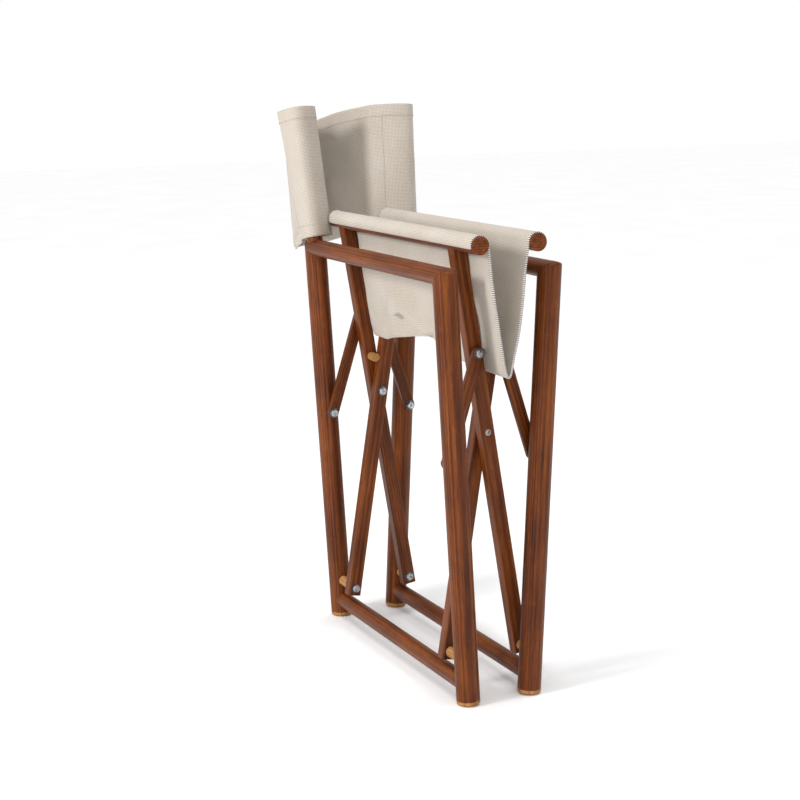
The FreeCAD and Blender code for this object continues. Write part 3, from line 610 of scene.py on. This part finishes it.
def back_cloth(side):
    """One half of the back canvas: a sewn pocket round the upright, and its slack wall."""
    name = SIDES[side]
    heights = [*LOW_HEM, *(LOW_HEM[-1] + BETWEEN * n / BETWEEN_ROWS
                           for n in range(1, BETWEEN_ROWS + 1)), *HIGH_HEM]
    _, total = back_loop(side, BAND_MIDDLE)
    columns = round(total / BACK_STEP)
    across = [total * c / columns for c in range(columns + 1)]
    grid = []
    for height in heights:
        line, _ = back_loop(side, BAND_LOW + height)
        grid.append([back_point(side, point, height) for point in pick(line, columns)])
    last = len(heights) - 1
    hem_rows = [*range(HEM_ROWS), *range(last + 1 - HEM_ROWS, last + 1)]
    piece = cloth_sheet(f"{name}_back_cloth", grid, across, heights, hem_rows=hem_rows)
    piece.data.materials.append(MATERIALS["back_canvas"])
    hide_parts(*REPLACED[side])
    rows = [surface_row(grid, face, HEM_SEAM_LIFT, row=level)
            for level in (HEM_ROWS - HEM_SEAM, last - HEM_ROWS + HEM_SEAM) for face in (1, -1)]
    pocket_seam = find_column(grid, side)
    rows += [surface_row(grid, face, POCKET_SEAM_LIFT, column=pocket_seam) for face in (1, -1)]
    seam = stitches(f"{name}_back_stitches", rows, *BACK_STITCH)
    seam.data.materials.append(MATERIALS["thread"])
    for part in (piece, seam):
        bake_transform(part)


def find_column(grid, side):
    """The column that the pocket's seam runs along, beside the one nearest a spot."""
    foot, inward, back, up = upright_axes(side)
    middle = grid[len(grid) // 2]
    if side == LEFT:
        spot, beside = Vector((-0.014, 0.036)), -1.5
        numbers = range(math.ceil(len(middle) * 0.8))
    else:
        spot, beside = Vector((0.038, -0.002)), 0.5
        numbers = range(7, len(middle))

    def distance(number):
        local = middle[number] - foot
        local -= up * local.dot(up)
        return (Vector((local.dot(inward), local.dot(back))) - spot).length

    return min(numbers, key=distance) + beside


# ---------------------------------------------------------------- finishes on the CAD parts
GRAINS = {"post": (0.0523, 0, 0.9986), "upright": (0.051541, 0.173648, 0.983458),
          "leg": (0.1632, 0, 0.9866), "link": (-0.3041, 0, 0.9526)}  # on the right side
ACROSS_GRAIN, UP_GRAIN = (0, 1, 0), (0, 0, 1)
CLOTH_WORDS = ("sleeve", "wall", "lap", "wrap", "seat_canvas")
METAL = ("bolts", "washers", "inserts")
PALE = ("feet", "spacers", "stop_pegs")


def grain_of(name):
    """The direction of a stained part's grain."""
    side = -1 if name.startswith("left") else 1
    for word, (x, y, z) in GRAINS.items():
        if word in name:
            return (side * x, y, z)
    return ACROSS_GRAIN


def finish_nodes():
    """Gives every CAD part that stays its own finish."""
    names = [name for name in sorted(NODES) if not any(word in name for word in CLOTH_WORDS)]
    for seed, name in enumerate(names, 1):
        node = NODES[name]
        if name.endswith(METAL):
            material = MATERIALS[next(word for word in METAL if name.endswith(word))]
        elif name.endswith(PALE):
            grain = UP_GRAIN if name in ("left_feet", "right_feet") else ACROSS_GRAIN
            material = wood(f"{name}_wood", grain, BARE, seed, coat=0.0, rough=0.62)
        else:
            material = wood(f"{name}_wood", grain_of(name), STAIN, seed, coat=0.07, rough=0.42)
        if node.material_slots:
            for slot in node.material_slots:
                slot.link = "OBJECT"
                slot.material = material
        else:
            node.data.materials.append(material)


# ---------------------------------------------------------------- studio
FLOOR_HALF = 14
FLOOR_TONES = (0.3, (0.92, 0.92, 0.92)), (0.7, (0.95, 0.95, 0.95))
LIGHTS_AT = Vector((0.0, 0.0, 0.42))
LIGHTS = (("key", (-2.85, -0.55, 1.70), 0.60, 58.0),    # place, size in metres, watts
          ("front", (-0.9, -3.6, 1.9), 1.2, 26.0))
SKY_FROM, SKY_TO, SKY_LOW, SKY_HIGH = 0.06, 0.30, 1.0, 0.46  # brighter at the horizon
SUN_POWER, SUN_WIDE = 1.85, math.radians(70)


def make_studio():
    """A pale floor, two soft lights, a very soft light from above and an even sky."""
    floor = make_object("floor", [(x * FLOOR_HALF, y * FLOOR_HALF, 0)
                                  for x, y in ((-1, -1), (1, -1), (1, 1), (-1, 1))], [(0, 1, 2, 3)])
    shader = Shader(bpy.data.materials.new("floor_paint"))
    place = shader.add("ShaderNodeTexCoord").outputs["Object"]
    colour = shader.ramp(shader.noise(place, scale=3.0, detail=3.0), *FLOOR_TONES)
    floor.data.materials.append(shader.finish(Base_Color=colour, Roughness=0.9))
    for name, place, size, power in LIGHTS:
        data = bpy.data.lights.new(name, "AREA")
        data.size, data.energy = size, power
        light = bpy.data.objects.new(name, data)
        light.location = place
        light.rotation_euler = (Vector(place) - LIGHTS_AT).to_track_quat("Z", "Y").to_euler()
        bpy.context.scene.collection.objects.link(light)
    sky = Shader(bpy.data.worlds.new("studio"), "Background")
    place = sky.add("ShaderNodeTexCoord").outputs["Generated"]
    height = sky.add("ShaderNodeSeparateXYZ", Vector=place).outputs[2]
    fade = sky.add("ShaderNodeMapRange", Value=height, From_Min=SKY_FROM, From_Max=SKY_TO,
                   To_Min=SKY_LOW, To_Max=SKY_HIGH).outputs[0]
    bpy.context.scene.world = sky.finish(Strength=fade, Color=(*WHITE, 1.0))
    top = bpy.data.lights.new("top", "SUN")
    top.energy, top.angle = SUN_POWER, SUN_WIDE
    bpy.context.scene.collection.objects.link(bpy.data.objects.new("top", top))
    bpy.context.scene.view_settings.view_transform = "Standard"


make_camera()
make_studio()
MATERIALS = {
    "seat_canvas": canvas("seat_canvas_twill", SEAT_LONG),
    "back_canvas": canvas("back_canvas_twill"),
    "thread": thread_material(),
    "bolts": metal("bolt_steel", (0.58, 0.59, 0.60), rough=0.26, scratch=0.25),
    "washers": metal("washer_steel", (0.16, 0.165, 0.18), rough=0.36, scratch=0.4),
    "inserts": metal("insert_steel", (0.50, 0.49, 0.46), rough=0.38, scratch=0.5),
}
finish_nodes()
for each_side in (LEFT, RIGHT):
    seat_cloth(each_side)
    back_cloth(each_side)
